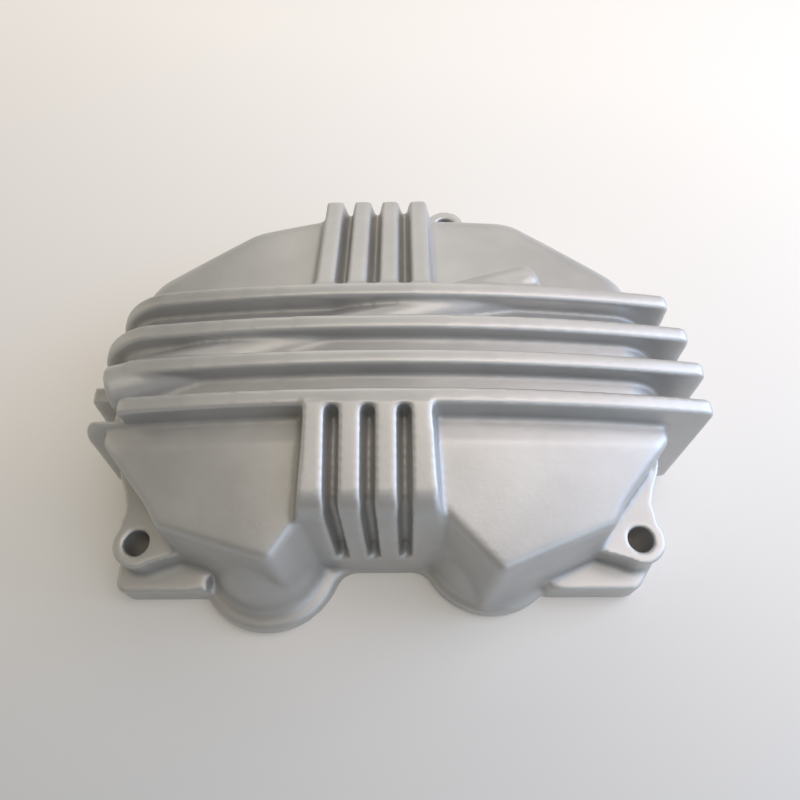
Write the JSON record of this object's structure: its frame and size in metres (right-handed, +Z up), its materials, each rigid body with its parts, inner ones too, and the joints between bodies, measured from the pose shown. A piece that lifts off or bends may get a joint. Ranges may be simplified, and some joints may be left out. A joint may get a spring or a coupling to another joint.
{
  "type": "engine valve cover",
  "caption": "Hollow cast valve cover with long cross fins, short fore-and-aft ribs, two sloping front decks with pointed lobes and three bolt ears on a flat gasket flange.",
  "frame": {"origin": "on the gasket face, under the middle of the bounding box", "axes": "+X to the right seen from the front, +Y from the two front bolt ears to the rear bolt ear, +Z up, away from the gasket face"},
  "size_m": [0.2226, 0.18, 0.072],
  "materials": {
    "casting": "satin silver-grey paint over a fine-blasted casting"
  },
  "bodies": {
    "root": {"valve_cover": "casting"}
  },
  "joints": []
}
